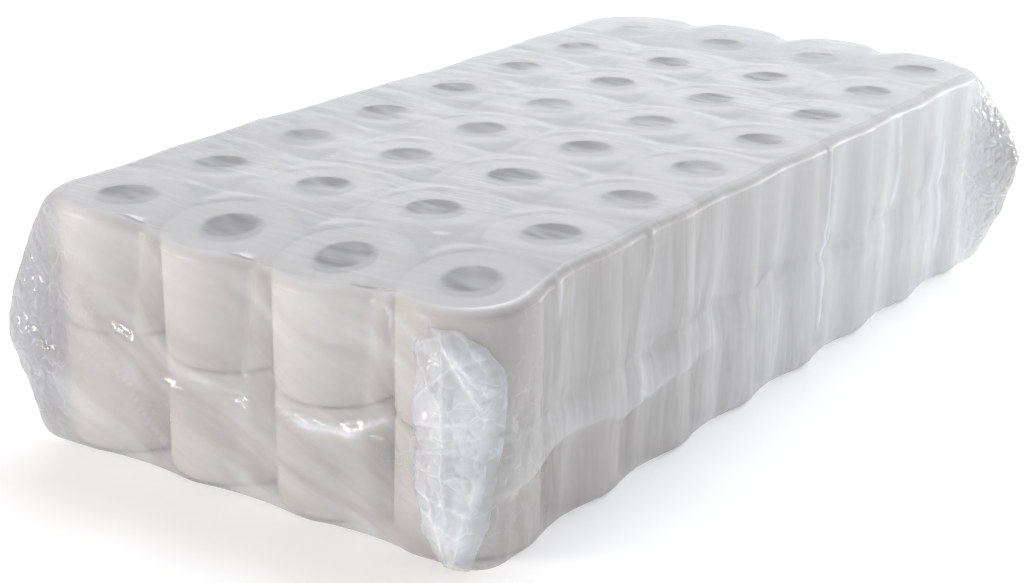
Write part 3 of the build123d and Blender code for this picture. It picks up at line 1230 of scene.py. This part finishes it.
# ---- stage ----------------------------------------------------------------------------
AIM = Vector((0.2037, -0.3784, 0.1887))  # what the camera is aimed at
LIGHT_AIM = Vector((0, 0, 0.1))  # what every light is aimed at
FLOOR_DROP = 0.6 * MM  # of the floor below the pack's foot
GLOW_START, GLOW_END = (1.0, 0.2), (3.5, 0.65)  # distance and strength of the floor's glow
SKY_HIGH = (0.31, 0.325, 0.34, 1)  # the sky is white low down and this colour above
SKY_FADE = (0.16, 0.42)  # rise of a line of sight where the fade starts and ends
WHITE = (1, 1, 1, 1)
LIGHTS = (  # name, place, watts, width and height, colour
    ("front", (-1.8, -2.3, 1.1), 30, (0.8, 0.6), (1.0, 0.89, 0.79)),
    ("overhead", (-0.2, 1.1, 2.3), 43, (2.0, 1.2), (0.96, 0.985, 1.0)),
    ("far_side", (1.4, 2.4, 0.6), 20, (0.6, 0.6), (1.0, 0.995, 0.96)),
    ("glint_front", (-1.4, -2.4, 0.75), 2.5, (0.03, 0.03), (1, 1, 1)),
    ("glint_strip", (-0.9, -2.6, 0.9), 5, (0.5, 0.05), (1, 1, 1)),
    ("glint_side", (1.9, 1.8, 0.45), 2, (0.03, 0.03), (1, 1, 1)),
    ("glint_high", (0.6, -1.6, 2.3), 5, (0.03, 0.03), (1, 1, 1)),
)


def add_light(name, place, energy, size, colour):
    """A square or oblong light that is aimed at the pack."""
    data = bpy.data.lights.new(name, "AREA")
    data.energy = energy
    data.color = colour
    data.shape = "RECTANGLE"
    data.size, data.size_y = size
    light = link(name, data)
    turn = (Vector(place) - LIGHT_AIM).to_track_quat("Z", "Y").to_matrix().to_4x4()
    light.matrix_world = Matrix.Translation(place) @ turn
    return light


def add_floor(settings):
    """A white floor that glows a little more the farther it lies from the pack."""
    size = settings.floor_size
    corners = ((-size, -size), (size, -size), (size, size), (-size, size))
    ground = bpy.data.meshes.new("floor")
    ground.from_pydata([(x, y, -FLOOR_DROP) for x, y in corners], [], [(0, 1, 2, 3)])
    material, tree, shader = new_material("floor")
    set_inputs(shader, {
        "Base Color": (*settings.colour, 1), "Roughness": 1.0, "Specular IOR Level": 0.0,
        "Emission Color": WHITE,
    })
    place = {0: object_place(tree)}
    away = add_node(tree, "ShaderNodeVectorMath", place, operation="LENGTH").outputs["Value"]
    (near, weak), (far, strong) = GLOW_START, GLOW_END
    glow = remap(tree, away, near, far, weak, strong)
    tree.links.new(glow, shader.inputs["Emission Strength"])
    ground.materials.append(material)
    return link("floor", ground)


def add_sky():
    """A studio sky: white low down, and grey above."""
    world = bpy.data.worlds.new("studio")
    world.use_nodes = True
    sky = world.node_tree
    aim = add_node(sky, "ShaderNodeTexCoord").outputs["Generated"]
    rise = add_node(sky, "ShaderNodeSeparateXYZ", {0: aim}).outputs["Z"]
    ramp = add_node(sky, "ShaderNodeValToRGB", {"Fac": rise})
    stops = ramp.color_ramp.elements
    for stop, position, shown in zip(stops, SKY_FADE, (WHITE, SKY_HIGH)):
        stop.position = position
        stop.color = shown
    sky.links.new(ramp.outputs["Color"], sky.nodes["Background"].inputs["Color"])
    bpy.context.scene.world = world


def add_camera(settings):
    """The camera, turned about its aim."""
    az, el, roll = settings.azimuth, settings.elevation, settings.roll
    back = Vector((math.sin(az) * math.cos(el), -math.cos(az) * math.cos(el), math.sin(el)))
    right = (-back).cross(Vector((0, 0, 1))).normalized()
    upward = right.cross(-back)
    tilted = right * math.cos(roll) + upward * math.sin(roll)
    upright = upward * math.cos(roll) - right * math.sin(roll)
    data = bpy.data.cameras.new("camera")
    data.lens = settings.lens
    data.clip_end = 50
    camera = link("camera", data)
    turn = Matrix((tilted, upright, back)).transposed().to_4x4()
    camera.matrix_world = Matrix.Translation(AIM + settings.distance * back) @ turn
    return camera


class PACK_OT_stage(bpy.types.Operator):
    """Set up the floor, the light and the camera"""

    bl_idname = "pack.stage"
    bl_label = "Stage"

    def execute(self, context):
        settings = context.scene.pack_stage
        context.scene.view_settings.view_transform = "Standard"
        floor = add_floor(settings)
        add_sky()
        lights = [add_light(*light) for light in LIGHTS]
        camera = add_camera(settings)
        context.scene.camera = camera
        return {"FINISHED"}


# ---- add-on ---------------------------------------------------------------------------
class PACK_PT_panel(bpy.types.Panel):
    """Sidebar panel with every setting and operator"""

    bl_idname = "PACK_PT_panel"
    bl_label = "Roll Pack"
    bl_space_type = "VIEW_3D"
    bl_region_type = "UI"
    bl_category = "Roll Pack"

    def draw(self, context):
        for group, operator in PARTS:
            box = self.layout.box()
            settings = getattr(context.scene, group)
            for name in settings.bl_rna.properties.keys():
                if name not in ("rna_type", "name"):
                    box.prop(settings, name)
            box.operator(operator)


PARTS = (
    ("pack_rolls", "pack.tissue_rolls"),
    ("pack_cores", "pack.card_cores"),
    ("pack_film", "pack.film_bag"),
    ("pack_stage", "pack.stage"),
)
GROUPS = {
    "pack_rolls": RollSettings,
    "pack_cores": CoreSettings,
    "pack_film": FilmSettings,
    "pack_stage": StageSettings,
}
CLASSES = (
    *GROUPS.values(),
    PACK_OT_tissue_rolls,
    PACK_OT_card_cores,
    PACK_OT_film_bag,
    PACK_OT_stage,
    PACK_PT_panel,
)


def register():
    for item in CLASSES:
        bpy.utils.register_class(item)
    for name, group in GROUPS.items():
        setattr(bpy.types.Scene, name, bpy.props.PointerProperty(type=group))


def unregister():
    for name in GROUPS:
        delattr(bpy.types.Scene, name)
    for item in reversed(CLASSES):
        bpy.utils.unregister_class(item)


def main():
    register()
    bpy.ops.pack.tissue_rolls()
    bpy.ops.pack.card_cores()
    bpy.ops.pack.film_bag()
    bpy.ops.pack.stage()


if __name__ == "__main__":
    main()
